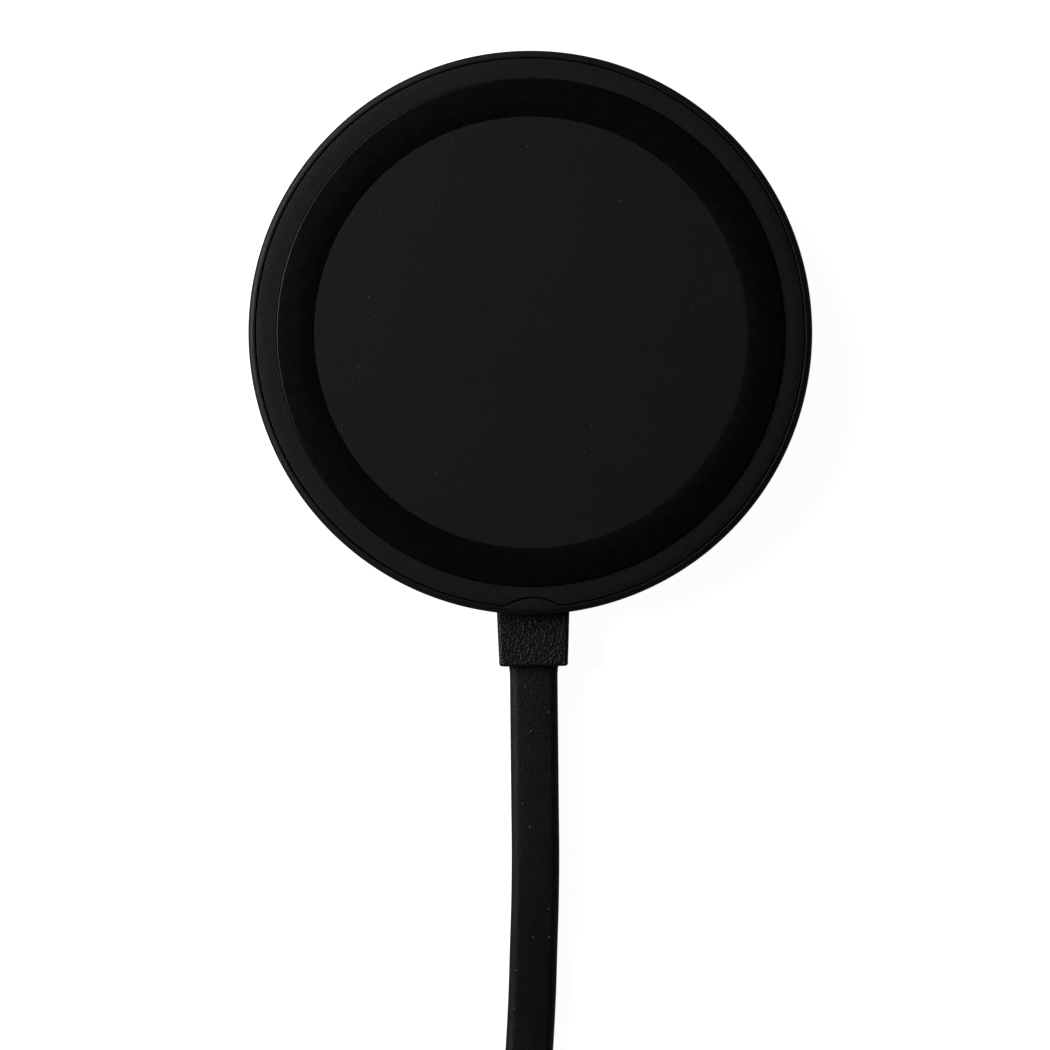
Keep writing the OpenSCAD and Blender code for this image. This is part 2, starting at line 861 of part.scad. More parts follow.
// Moves the plug's own frame, with +Y from neck to tip, to the end of the tail.
module at_plug() {
    end = tail_route[len(tail_route) - 1];
    in_winding()
        translate([end[0], end[1], plug_z])
            rotate([0, 0, 180 - plug_heading])
                children();
}

// A straight stretch of the plug, from y1 to y2, of the section that follows.
module stretch(y1, y2) {
    translate([0, y2, 0])
        rotate([90, 0, 0])
            linear_extrude(y2 - y1)
                children();
}

grip_y = neck_l + grip_l;
shell_y = grip_y - shell_embed;
tip_y = grip_y + shell_l;
plug_board_l = 6;
plug_board_y = shell_y - plug_board_l;

module plug_board_shape() {
    translate([-4, plug_board_y, -0.4])
        cube([8, plug_board_l, 0.8]);
}

module plug_wire_shapes() {
    for (x = wire_x)
        translate([x, 0, 0])
            stretch(0, plug_board_y)
                circle(d = wire_d);
}

module shell_outline(inset) {
    rounded_rect(shell_w - 2 * inset, shell_h - 2 * inset, shell_h / 2 - inset - 0.05);
}

module plug_overmould() {
    color("#161718")
        at_plug()
            difference() {
                union() {
                    stretch(0, neck_l)
                        rounded_rect(neck_w, neck_h, 1.2);
                    stretch(neck_l, grip_y)
                        rounded_rect(grip_w, grip_h, 2.2);
                }
                stretch(shell_y, grip_y + 1)
                    shell_outline(0);
                plug_board_shape();
                plug_wire_shapes();
            }
}

module plug_shell() {
    color("#c4c7cb")
        at_plug()
            stretch(shell_y, tip_y)
                difference() {
                    shell_outline(0);
                    shell_outline(shell_wall);
                }
}

module plug_insulator() {
    color("#202124")
        at_plug()
            difference() {
                stretch(shell_y, tip_y - 0.2)
                    shell_outline(shell_wall);
                stretch(tip_y - tongue_depth, tip_y + 1)
                    square([tongue_w, tongue_h], center = true);
            }
}

module plug_contacts() {
    color("#c9a24a")
        at_plug()
            for (i = [0:contact_count - 1], s = [-1, 1])
                translate([(i - (contact_count - 1) / 2) * 0.5, 0, s * (tongue_h / 2 - 0.05)])
                    stretch(tip_y - tongue_depth, tip_y - 0.7)
                        square([0.25, 0.1], center = true);
}

module plug_board() {
    color("#1f5c3a") at_plug() plug_board_shape();
}

module plug_wires() {
    color("#b3261e") at_plug() plug_wire_shapes();
}

housing();
top_panel();
gloss_ring();
ring_tape();
panel_tape();
for (i = [1:magnet_count])
    magnet(i);
magnet_holder();
magnet_yoke();
magnet_tape();
charging_coil();
coil_tape();
ferrite_tape();
ferrite_sheet();
insulating_film();
circuit_board();
controller_chip();
bridge_transistors();
resonant_capacitors();
filter_capacitors();
sense_resistors();
power_inductor();
thermistor();
thermal_pad();
wire_power();
wire_ground();
wire_data_plus();
wire_data_minus();
solder_joints();
base_pad();
base_tape();
strain_relief();
cable_run();
cable_coil();
cable_tail();
cable_tie(35);  // cable_tie_1
cable_tie(215);  // cable_tie_2
plug_overmould();
plug_shell();
plug_insulator();
plug_contacts();
plug_board();
plug_wires();
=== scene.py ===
import json
import math

import bpy
from mathutils import Matrix, Vector, noise


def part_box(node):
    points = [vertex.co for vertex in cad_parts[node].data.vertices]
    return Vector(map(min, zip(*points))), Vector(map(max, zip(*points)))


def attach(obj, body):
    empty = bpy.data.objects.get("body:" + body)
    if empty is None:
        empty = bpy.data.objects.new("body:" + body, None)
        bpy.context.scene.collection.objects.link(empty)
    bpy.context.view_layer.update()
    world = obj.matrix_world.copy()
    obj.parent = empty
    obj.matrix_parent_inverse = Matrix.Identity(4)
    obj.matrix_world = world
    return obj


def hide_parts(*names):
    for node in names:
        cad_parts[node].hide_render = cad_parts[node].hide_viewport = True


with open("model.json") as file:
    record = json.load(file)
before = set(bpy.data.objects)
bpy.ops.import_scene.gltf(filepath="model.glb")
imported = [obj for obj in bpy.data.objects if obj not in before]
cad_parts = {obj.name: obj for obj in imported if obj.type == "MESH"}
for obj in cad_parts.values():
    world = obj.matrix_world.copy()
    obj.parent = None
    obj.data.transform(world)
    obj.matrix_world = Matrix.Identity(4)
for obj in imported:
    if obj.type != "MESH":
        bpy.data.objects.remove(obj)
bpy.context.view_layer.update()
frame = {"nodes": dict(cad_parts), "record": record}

nodes = frame["nodes"]
MM = 0.001

# ---- Sizes, from the frame where it has them ----

DISC_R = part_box("housing")[1].x
PANEL_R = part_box("top_panel")[1].x
RING_R2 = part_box("gloss_ring")[1].x
RING_R1 = 23 * MM
GAP = 0.12 * MM                      # seam between panel and rim
RING_GAP = 0.03 * MM
FACE_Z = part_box("gloss_ring")[1].z
BAND_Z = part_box("housing")[1].z
HOUSING_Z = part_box("housing")[0].z
LEDGE_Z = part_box("panel_tape")[0].z
PANEL_Z = LEDGE_Z + 0.1 * MM
GROOVE_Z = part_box("ring_tape")[0].z
FLOOR_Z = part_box("thermal_pad")[0].z
FOOT_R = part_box("base_pad")[1].x
FOOT_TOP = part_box("base_tape")[1].z
WALL_R = DISC_R - 1.6 * MM
RIM_ROUND = 0.6 * MM
BASE_ROUND = 1.2 * MM

# The arch of the seam above the cable: its depth, the radius of its crown and of its fillets.
ARCH_RISE = 1 * MM
ARCH_R = 5.2 * MM
ARCH_FILLET = 1 * MM

# The cable, in metres: a flat cord. Its way from the strain relief, as x and y from the relief's
# end, height above the table and roll of its flat side in degrees, lying at 0, standing at 90.
CABLE_W = 0.0051
CABLE_T = 0.002
CABLE_EDGE = 0.00095                 # radius of the rounded edges
RELIEF_END_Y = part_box("strain_relief")[0].y
EXIT = (0.0, RELIEF_END_Y, 0.0025)
RUN = [
    (0, 0.0015, 0.0025, 0), (0, 0, 0.0025, 0),
    (0, -0.005, 0.0025, 0), (0, -0.010, 0.0025, 0), (0, -0.015, 0.00245, 0),
    (0, -0.020, 0.00235, 0), (-0.0001, -0.025, 0.0021, 0), (-0.0003, -0.030, 0.00175, 0),
    (-0.0005, -0.035, 0.0014, 0), (-0.0008, -0.040, 0.00115, 0), (-0.0011, -0.044, 0.0014, 10),
    (-0.0014, -0.048, 0.00195, 32), (-0.0017, -0.052, 0.0025, 60), (-0.0019, -0.055, 0.00275, 78),
    (-0.0021, -0.058, 0.00285, 90)]
# Its heading there, from -Y towards -X, and the bend to the left and the straight stretch by which
# it joins the winding.
RUN_HEADING = math.radians(4)
JOIN_R = 0.012
JOIN_TURN = math.radians(75)
WIND_LEAD = 0.005
# The winding: radius at the middle of the turns, number of turns, distance between two of them.
WIND_R = 0.0295
WIND_TURNS = 4.8
WIND_PITCH = 0.00205
WIND_AXIS_Z = 0.00285
# Distance between two points of a route, and how many stretches each bend and turn is cut into.
PATH_STEP = 0.001
JOIN_STEPS = 16
LEAD_STEPS = 4
TURN_STEPS = 120
TAIL_STEPS = 10
# The bend that leaves the inner turn, up to where the tail starts, and the tail's way to the plug,
# seen from the winding's axis with the inner turn's end at the top.
TAIL_BEND_R = 0.011
TAIL_BEND = math.radians(50)
TAIL = [
    (0.0106, 0.0164, 0.00285, 75), (0.0110, 0.0136, 0.0029, 55), (0.0108, 0.0114, 0.003, 35),
    (0.0102, 0.0092, 0.0031, 15), (0.0092, 0.0064, 0.0031, 0), (0.0079, 0.003, 0.0031, 0)]
PLUG_HEADING = math.radians(21)
PLUG_Z = 0.0031
NECK_L = 0.004
GRIP_L = 0.0145
GRIP_W = 0.011
GRIP_H = 0.0062
CABLE_IN_PLUG = 1.2 * MM             # how far the cable goes on inside the grip


# ---- Camera ----

VIEW_WIDTH = 0.1116                  # what the picture spans at the charging face
VIEW_CENTRE = (-0.00077, -0.02046)
VIEW_ROLL = math.radians(-0.575)
VIEW_DISTANCE = 0.9
SENSOR_WIDTH = 36

camera_data = bpy.data.cameras.new("camera")
camera_data.sensor_width = SENSOR_WIDTH
camera_data.lens = SENSOR_WIDTH * VIEW_DISTANCE / VIEW_WIDTH
camera_data.clip_start = 0.01
camera_data.clip_end = 50
camera = bpy.data.objects.new("camera", camera_data)
camera.location = (*VIEW_CENTRE, FACE_Z + VIEW_DISTANCE)
camera.rotation_euler = (0, 0, VIEW_ROLL)
bpy.context.scene.collection.objects.link(camera)
bpy.context.scene.camera = camera


# ---- Mesh helpers ----

def mesh_object(name, points, faces):
    mesh = bpy.data.meshes.new(name)
    mesh.from_pydata([tuple(p) for p in points], [], faces)
    mesh.validate()
    mesh.update()
    mesh.shade_smooth()
    obj = bpy.data.objects.new(name, mesh)
    bpy.context.scene.collection.objects.link(obj)
    return obj


def skin(name, rings, closed=False, caps=True):
    """A tube through rings of points, each with the same number of points."""
    n, m = len(rings), len(rings[0])
    points = [p for ring in rings for p in ring]
    faces = []
    for i in range(n if closed else n - 1):
        a, b = i * m, (i + 1) % n * m
        faces += [(a + j, a + (j + 1) % m, b + (j + 1) % m, b + j) for j in range(m)]
    if caps and not closed:
        faces += [tuple(range(m))[::-1], tuple((n - 1) * m + j for j in range(m))]
    return mesh_object(name, points, faces)


def sharpen(obj, degrees=35):
    """Smooth shading that keeps creases sharper than the angle."""
    obj.data.set_sharp_from_angle(angle=math.radians(degrees))
    return obj


def apply_modifiers(obj):
    graph = bpy.context.evaluated_depsgraph_get()
    mesh = bpy.data.meshes.new_from_object(obj.evaluated_get(graph))
    obj.modifiers.clear()
    obj.data = mesh


def arc(cx, cy, r, a1, a2, steps):
    """Points on an arc, angles in degrees from +X."""
    return [(cx + r * math.cos(math.radians(a1 + (a2 - a1) * i / steps)),
             cy + r * math.sin(math.radians(a1 + (a2 - a1) * i / steps))) for i in range(steps + 1)]


def rounded_rect(w, h, r, steps=6):
    """Outline of a rounded rectangle about its centre, counter-clockwise."""
    out = []
    for k, (sx, sy) in enumerate([(1, 1), (-1, 1), (-1, -1), (1, -1)]):
        out += arc(sx * (w / 2 - r), sy * (h / 2 - r), r, 90 * k, 90 * k + 90, steps)
    return out


# Angles round the disc, from +X: a degree apart, and a quarter of one across the arch on -Y, which
# reaches ARCH_SPAN degrees to each side.
ARCH_SPAN = 9
PLAIN_SPAN = 360 - 2 * ARCH_SPAN
around = [math.radians(a) for a in
          [-90 + ARCH_SPAN + i for i in range(PLAIN_SPAN)]
          + [270 - ARCH_SPAN + i / 4 for i in range(8 * ARCH_SPAN)]]


def seam_radius(angle, grow=0.0):
    """Distance from the axis to the panel's edge, grown by the seam's gap."""
    t = abs(math.atan2(math.cos(angle), -math.sin(angle)))  # from -Y, to either side
    arch_y = PANEL_R - ARCH_RISE + ARCH_R
    reach = PANEL_R - ARCH_FILLET
    # The centre of the fillet: fx to the side, fy along -Y.
    fy = (arch_y ** 2 + reach ** 2 - (ARCH_R + ARCH_FILLET) ** 2) / (2 * arch_y)
    fx = math.sqrt(reach ** 2 - fy ** 2)
    seam_touch = math.atan2(fx, fy)
    if t >= seam_touch:
        return PANEL_R + grow
    touch_x = fx * (ARCH_R - grow) / (ARCH_R + ARCH_FILLET)
    touch_y = arch_y - (arch_y - fy) * (ARCH_R - grow) / (ARCH_R + ARCH_FILLET)
    if t > math.atan2(touch_x, touch_y):
        r = ARCH_FILLET + grow
        along = fx * math.sin(t) + fy * math.cos(t)
        return along + math.sqrt(max(r * r - (fx * fx + fy * fy - along * along), 0))
    along = arch_y * math.cos(t)
    return along - math.sqrt(max((ARCH_R - grow) ** 2 - (arch_y ** 2 - along ** 2), 0))


def turned(name, profile):
    """A solid turned about the Z axis. The profile goes from axis to axis, as (radius, z), and a
    radius may be a function of the angle."""
    points, faces = [(0, 0, profile[0][1])], []
    m = len(around)
    rows = profile[1:-1]
    for r, z in rows:
        for a in around:
            d = r(a) if callable(r) else r
            points.append((d * math.cos(a), d * math.sin(a), z))
    points.append((0, 0, profile[-1][1]))
    last = len(points) - 1
    for j in range(m):
        k = (j + 1) % m
        faces.append((0, 1 + k, 1 + j))
        for i in range(len(rows) - 1):
            a, b = 1 + i * m, 1 + (i + 1) * m
            faces.append((a + j, a + k, b + k, b + j))
        end = 1 + (len(rows) - 1) * m
        faces.append((end + j, end + k, last))
    return sharpen(mesh_object(name, points, faces))


def turned_ring(name, profile):
    """A ring turned about the Z axis from a closed profile."""
    points, faces = [], []
    m, n = len(around), len(profile)
    for r, z in profile:
        points += [(r * math.cos(a), r * math.sin(a), z) for a in around]
    for i in range(n):
        a, b = i * m, (i + 1) % n * m
        faces += [(a + j, a + (j + 1) % m, b + (j + 1) % m, b + j) for j in range(m)]
    return sharpen(mesh_object(name, points, faces))


# ---- Material helpers ----

DUST_R = 0.00009                     # a grain of dust fades out at this distance


class Shader:
    """A Principled material with object-space noise on its colour, roughness and height."""

    def __init__(self, name, roughness=0.5, metallic=0.0, specular=0.5):
        self.material = bpy.data.materials.new(name)
        self.material.use_nodes = True
        self.tree = self.material.node_tree
        self.bsdf = self.tree.nodes["Principled BSDF"]
        self.bsdf.inputs["Roughness"].default_value = roughness
        self.bsdf.inputs["Metallic"].default_value = metallic
        self.bsdf.inputs["Specular IOR Level"].default_value = specular
        self.place = self.tree.nodes.new("ShaderNodeTexCoord").outputs["Object"]
        self.height = None

    def link(self, a, b):
        self.tree.links.new(a, b)

    def noise(self, size, detail=2.0, roughness=0.5):
        """Noise whose features are about size metres across."""
        node = self.tree.nodes.new("ShaderNodeTexNoise")
        node.inputs["Scale"].default_value = 1 / size
        node.inputs["Detail"].default_value = detail
        node.inputs["Roughness"].default_value = roughness
        self.link(self.place, node.inputs["Vector"])
        return node.outputs["Fac"]

    def cells(self, size):
        """Distance from the nearest of scattered points, which are about size metres apart, as a
        share of size."""
        node = self.tree.nodes.new("ShaderNodeTexVoronoi")
        node.inputs["Scale"].default_value = 1 / size
        self.link(self.place, node.inputs["Vector"])
        return node.outputs["Distance"]

    def specks(self, apart):
        """Where the sparse grains of dust are, apart metres from each other."""
        reach = DUST_R / apart
        return self.spread(self.cells(apart), 1, 0, reach / 2, reach)

    def spread(self, value, low, high, start=0.3, stop=0.7):
        """Takes the values from start to stop to those from low to high."""
        node = self.tree.nodes.new("ShaderNodeMapRange")
        node.inputs["From Min"].default_value = start
        node.inputs["From Max"].default_value = stop
        node.inputs["To Min"].default_value = low
        node.inputs["To Max"].default_value = high
        self.link(value, node.inputs["Value"])
        return node.outputs["Result"]

    def ramp(self, value, stops):
        node = self.tree.nodes.new("ShaderNodeValToRGB")
        ramp = node.color_ramp
        while len(ramp.elements) < len(stops):
            ramp.elements.new(0.5)
        for element, (at, colour) in zip(ramp.elements, stops):
            element.position = at
            element.color = (*colour, 1)
        self.link(value, node.inputs["Fac"])
        return node.outputs["Color"]

    def mix(self, factor, under, colour):
        """The socket under, and the colour instead of it where the factor is high."""
        node = self.tree.nodes.new("ShaderNodeMix")
        node.data_type = "RGBA"
        self.link(factor, node.inputs["Factor"])
        low, high = [s for s in node.inputs if s.type == "RGBA"]
        self.link(under, low)
        high.default_value = (*colour, 1)
        return [s for s in node.outputs if s.type == "RGBA"][0]

    def colour(self, colour, vary=0.15, size=0.01):
        """A base colour that drifts by the share vary over patches of size."""
        low = tuple(c * (1 - vary) for c in colour)
        high = tuple(c * (1 + vary) for c in colour)
        self.base = self.ramp(self.noise(size, 3), [(0.3, low), (0.7, high)])
        self.link(self.base, self.bsdf.inputs["Base Color"])

    def tint(self, factor, colour):
        """Lays another colour over the base where factor is high."""
        self.base = self.mix(factor, self.base, colour)
        self.link(self.base, self.bsdf.inputs["Base Color"])

    def roughen(self, low, high, size):
        """Roughness that drifts from low to high over patches of size."""
        self.link(self.spread(self.noise(size, 3), low, high), self.bsdf.inputs["Roughness"])

    def bump(self, value, distance):
        """Height in metres, added on top of what is there."""
        node = self.tree.nodes.new("ShaderNodeBump")
        node.inputs["Distance"].default_value = distance
        self.link(value, node.inputs["Height"])
        if self.height is not None:
            self.link(self.height, node.inputs["Normal"])
        self.height = node.outputs["Normal"]
        self.link(self.height, self.bsdf.inputs["Normal"])


def dress(obj, shader):
    obj.data.materials.clear()
    obj.data.materials.append(shader.material)


# ---- Cable ----

def half_height(roll):
    """Half the height of the cable's section when it is rolled by an angle in degrees."""
    a = math.radians(roll)
    flat_w, flat_t = CABLE_W / 2 - CABLE_EDGE, CABLE_T / 2 - CABLE_EDGE
    return abs(flat_w * math.sin(a)) + abs(flat_t * math.cos(a)) + CABLE_EDGE


def smooth_path(points, step):
    """Even points on a smooth curve (Catmull-Rom) through the points, none of them lower than the
    table lets the cable lie."""
    out = []
    n = len(points)
    for i in range(n - 1):
        p = [points[max(i - 1, 0)], points[i], points[i + 1], points[min(i + 2, n - 1)]]
        length = math.dist(p[1][:3], p[2][:3])
        count = max(1, round(length / step))
        for k in range(count):
            t = k / count
            w = (-0.5 * t + t * t - 0.5 * t ** 3, 1 - 2.5 * t * t + 1.5 * t ** 3,
                 0.5 * t + 2 * t * t - 1.5 * t ** 3, 0.5 * t ** 3 - 0.5 * t * t)
            out.append(tuple(sum(w[j] * p[j][c] for j in range(4)) for c in range(4)))
    out.append(points[-1])
    return [(x, y, max(z, half_height(roll)), roll) for x, y, z, roll in out]


def ahead(heading):
    """The way a heading points, measured from -Y towards -X."""
    return Vector((-math.sin(heading), -math.cos(heading)))


def left_of(heading):
    """To the left of a heading, seen from above."""
    return Vector((math.cos(heading), -math.sin(heading)))


def winding():
    """The centre of the turns, their outer and inner radius, and where the outer one starts."""
    outer = WIND_R + WIND_TURNS * WIND_PITCH / 2
    inner = WIND_R - WIND_TURNS * WIND_PITCH / 2
    heading = RUN_HEADING - JOIN_TURN
    run_end = Vector((RUN[-1][0], EXIT[1] + RUN[-1][1]))
    bend_centre = run_end + JOIN_R * left_of(RUN_HEADING)
    bend_end = bend_centre - JOIN_R * left_of(heading)
    centre = bend_end + WIND_LEAD * ahead(heading) - outer * left_of(heading)
    return centre, outer, inner, -heading, bend_centre, bend_end


CENTRE, OUTER, INNER, START, BEND_CENTRE, BEND_END = winding()


def wound_cable():
    """The whole cable's centreline, as (x, y, z, roll), with the plug's frame at its end."""
    run = [(x, EXIT[1] + y, z, roll) for x, y, z, roll in RUN]
    path = smooth_path(run, PATH_STEP)

    def stand(p):
        path.append((p.x, p.y, WIND_AXIS_Z, 90))

    for i in range(1, JOIN_STEPS + 1):
        stand(BEND_CENTRE - JOIN_R * left_of(RUN_HEADING - JOIN_TURN * i / JOIN_STEPS))
    for i in range(1, LEAD_STEPS):
        stand(BEND_END + WIND_LEAD * i / LEAD_STEPS * ahead(RUN_HEADING - JOIN_TURN))
    steps = round(WIND_TURNS * TURN_STEPS)
    for i in range(steps + 1):
        turn = WIND_TURNS * i / steps
        a = START - 2 * math.pi * turn
        stand(CENTRE + (OUTER - WIND_PITCH * turn) * Vector((math.cos(a), math.sin(a))))
    place = Matrix.Translation((*CENTRE, 0)) @ Matrix.Rotation(
        START - 2 * math.pi * WIND_TURNS - math.pi / 2, 4, "Z")
    bend = []
    for i in range(1, TAIL_STEPS + 1):
        a = TAIL_BEND * i / TAIL_STEPS
        bend.append((TAIL_BEND_R * math.sin(a), INNER - TAIL_BEND_R * (1 - math.cos(a)),
                     WIND_AXIS_Z, 90))
    tail = smooth_path(bend[-2:] + TAIL, PATH_STEP)[1:]
    end = TAIL[-1]
    into_plug = ahead(PLUG_HEADING) * CABLE_IN_PLUG
    tail.append((end[0] + into_plug.x, end[1] + into_plug.y, end[2], 0))
    for x, y, z, roll in bend[:-1] + tail:
        p = place @ Vector((x, y, z))
        path.append((p.x, p.y, p.z, roll))
    plug = place @ Matrix.Translation((end[0], end[1], PLUG_Z)) @ Matrix.Rotation(
        math.pi - PLUG_HEADING, 4, "Z")
    return path, plug


def flat_tube(name, path, outline):
    """Sweeps outlines (one for each point of the path) along it, rolled as the path says."""
    rings = []
    n = len(path)
    for i, (x, y, z, roll) in enumerate(path):
        t = (Vector(path[min(i + 1, n - 1)][:3]) - Vector(path[max(i - 1, 0)][:3])).normalized()
        side = t.cross(Vector((0, 0, 1))).normalized()
        up = side.cross(t)
        c, s = math.cos(math.radians(roll)), math.sin(math.radians(roll))
        rings.append([Vector((x, y, z)) + side * (a * c - b * s) + up * (a * s + b * c)
                      for a, b in outline(i)])
    return skin(name, rings)


cable_path, plug_place = wound_cable()
FLARE_L = 0.0008                     # the jacket swells a little where it leaves the relief
FLARE = 0.00008


def cable_outline(i):
    out = EXIT[1] - cable_path[i][1]
    swell = FLARE * max(0.0, 1 - abs(out) / FLARE_L)
    return rounded_rect(CABLE_W + 2 * swell, CABLE_T + 2 * swell, CABLE_EDGE, 8)


cable = flat_tube("cable", cable_path, cable_outline)
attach(cable, "root")
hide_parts("cable_run", "cable_coil", "cable_tail")


# ---- Housing, panel and ring ----

def rim_edge(grow):
    """The rim's inner edge, as a radius that depends on the angle."""
    return lambda a: seam_radius(a, GAP) + grow


def housing_shell():
    top = BAND_Z
    edge = 0.06 * MM
    inner = [(rim_edge(edge * (1 - math.cos(math.radians(q)))),
              top - edge * (1 - math.sin(math.radians(q)))) for q in (0, 30, 60, 90)]
    shoulder = arc(DISC_R - RIM_ROUND, top - RIM_ROUND, RIM_ROUND, 90, 0, 10)
    belly = arc(DISC_R - BASE_ROUND, HOUSING_Z + BASE_ROUND, BASE_ROUND, 0, -90, 12)
    foot = FOOT_R + GAP

    def inside(a):
        return min(WALL_R, seam_radius(a, GAP))

    # The rows in the middle of a flat face only keep its triangles from growing long.
    profile = [(0, FLOOR_Z), (20 * MM, FLOOR_Z), (inside, FLOOR_Z), (inside, LEDGE_Z),
               (rim_edge(0), LEDGE_Z)]
    profile += inner + shoulder
    profile += [(DISC_R, 4 * MM), (DISC_R, 2.5 * MM)] + belly
    profile += [(foot + 0.1 * MM, HOUSING_Z), (foot, HOUSING_Z + 0.1 * MM), (foot, FOOT_TOP),
                (12 * MM, FOOT_TOP), (0, FOOT_TOP)]
    return turned("housing_shell", profile)


def charging_face():
    e = 0.07 * MM
    side = [(lambda a, q=q: seam_radius(a) - e * (1 - math.cos(math.radians(q))),
             BAND_Z - e * (1 - math.sin(math.radians(q)))) for q in (0, 30, 60, 90)]
    outer = RING_R2 + RING_GAP
    inner = RING_R1 - RING_GAP
    lip = 0.03 * MM
    profile = [(0, PANEL_Z), (15 * MM, PANEL_Z), (seam_radius, PANEL_Z)] + side
    profile += [((outer + PANEL_R) / 2, BAND_Z), (outer + lip, BAND_Z), (outer, BAND_Z - lip),
                (outer, GROOVE_Z), (inner, GROOVE_Z), (inner, FACE_Z - lip),
                (inner - lip, FACE_Z), (15 * MM, FACE_Z), (7 * MM, FACE_Z), (0, FACE_Z)]
    return turned("charging_face", profile)


def alignment_ring():
    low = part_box("gloss_ring")[0].z
    r = 0.15 * MM
    lip = 0.03 * MM
    profile = [(RING_R1, low), (RING_R2, low)]
    profile += arc(RING_R2 - r, FACE_Z - r, r, 0, 90, 8)
    profile += [((RING_R1 + RING_R2) / 2, FACE_Z)]
    profile += arc(RING_R1 + lip, FACE_Z - lip, lip, 90, 180, 3)
    return turned_ring("alignment_ring", profile)


housing = housing_shell()
panel = charging_face()
gloss_ring = alignment_ring()
for piece, node, slot in ((housing, "housing", "casing"), (panel, "top_panel", "soft_touch_panel"),
                          (gloss_ring, "gloss_ring", "gloss_trim")):
    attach(piece, "root")
    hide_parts(node)


def anti_slip_pad():
    round_r = 0.12 * MM
    depth = 0.12 * MM
    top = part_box("base_pad")[1].z
    edge = arc(FOOT_R - round_r, round_r, round_r, -90, 0, 5)
    groove = [(FOOT_R - 2.2 * MM, 0), (FOOT_R - 2.1 * MM, depth), (FOOT_R - 1.7 * MM, depth),
              (FOOT_R - 1.6 * MM, 0)]
    profile = [(0, 0), (8 * MM, 0)] + groove + edge
    profile += [(FOOT_R, top), (8 * MM, top), (0, top)]
    return turned("anti_slip_pad", profile)


foot = anti_slip_pad()
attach(foot, "root")
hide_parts("base_pad")


# ---- Strain relief ----

RELIEF_W = 7.75 * MM                 # at the housing, and at the end
RELIEF_END_W = 7.33 * MM
RELIEF_LOW = 0.6 * MM                # its underside, above the table
RELIEF_INSIDE = 0.5 * MM             # how far it goes on inside the housing
# The grain: how large its pits are, how deep, and how far the skin is sunk so that it stays in.
GRAIN_SIZE = 0.16 * MM
GRAIN_DEPTH = 0.06 * MM
GRAIN_SINK = 0.042 * MM


def strain_relief():
    """A tapered block whose skin is broken up by a coarse grain."""
    mid_z = EXIT[2]
    height = 2 * (mid_z - RELIEF_LOW)
    start, end = -DISC_R + RELIEF_INSIDE, RELIEF_END_Y
    edge = 0.3 * MM
    corner = 0.42 * MM
    steps, across, upwards = 110, 120, 50
    sections = [(start + (end + edge - start) * i / steps, 0.0) for i in range(steps + 1)]
    sections += [(end + edge - edge * math.sin(math.radians(q)),
                  edge * (1 - math.cos(math.radians(q)))) for q in (12, 24, 36, 48, 60, 75, 90)]
    rings = []
    for y, inset in sections:
        t = min(max((-DISC_R - y) / (-DISC_R - end), 0), 1)
        w = RELIEF_W + (RELIEF_END_W - RELIEF_W) * t - 2 * inset
        h = height - 2 * inset
        outline = []
        for k, (sx, sy) in enumerate([(1, 1), (-1, 1), (-1, -1), (1, -1)]):
            outline += arc(sx * (w / 2 - corner), sy * (h / 2 - corner), corner,
                           90 * k, 90 * k + 90, 8)
            flat, count = (w, across) if k % 2 == 0 else (h, upwards)
            flat -= 2 * corner
            x, z = outline[-1]
            dx, dz = [(-1, 0), (0, -1), (1, 0), (0, 1)][k]
            outline += [(x + dx * flat * j / count, z + dz * flat * j / count)
                        for j in range(1, count)]
        rings.append([Vector((x, y, mid_z + z)) for x, z in outline])
    obj = skin("relief_block", rings, caps=False)
    m = len(rings[0])
    mesh = obj.data
    # The grain, in two sizes of pits, fades out over the first rings, inside the housing.
    points = []
    for v in mesh.vertices:
        p = v.co / GRAIN_SIZE
        grain = noise.noise(p) + 0.5 * noise.noise(p * 2.1 + Vector((7, 3, 5)))
        fade = min(1.0, v.index // m / 6)
        points.append(v.co + v.normal * (grain * GRAIN_DEPTH - GRAIN_SINK) * fade)
    faces = [tuple(p.vertices) for p in mesh.polygons]
    bpy.data.objects.remove(obj)
    first, last = len(points), len(points) + 1
    tail = (len(rings) - 1) * m
    points += [Vector((0, start, mid_z)), Vector((0, end, mid_z))]
    faces += [(j, first, (j + 1) % m) for j in range(m)]
    faces += [(tail + (j + 1) % m, last, tail + j) for j in range(m)]
    return sharpen(mesh_object("relief_block", points, faces), 70)


relief = strain_relief()
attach(relief, "root")
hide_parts("strain_relief")


# ---- Plug ----

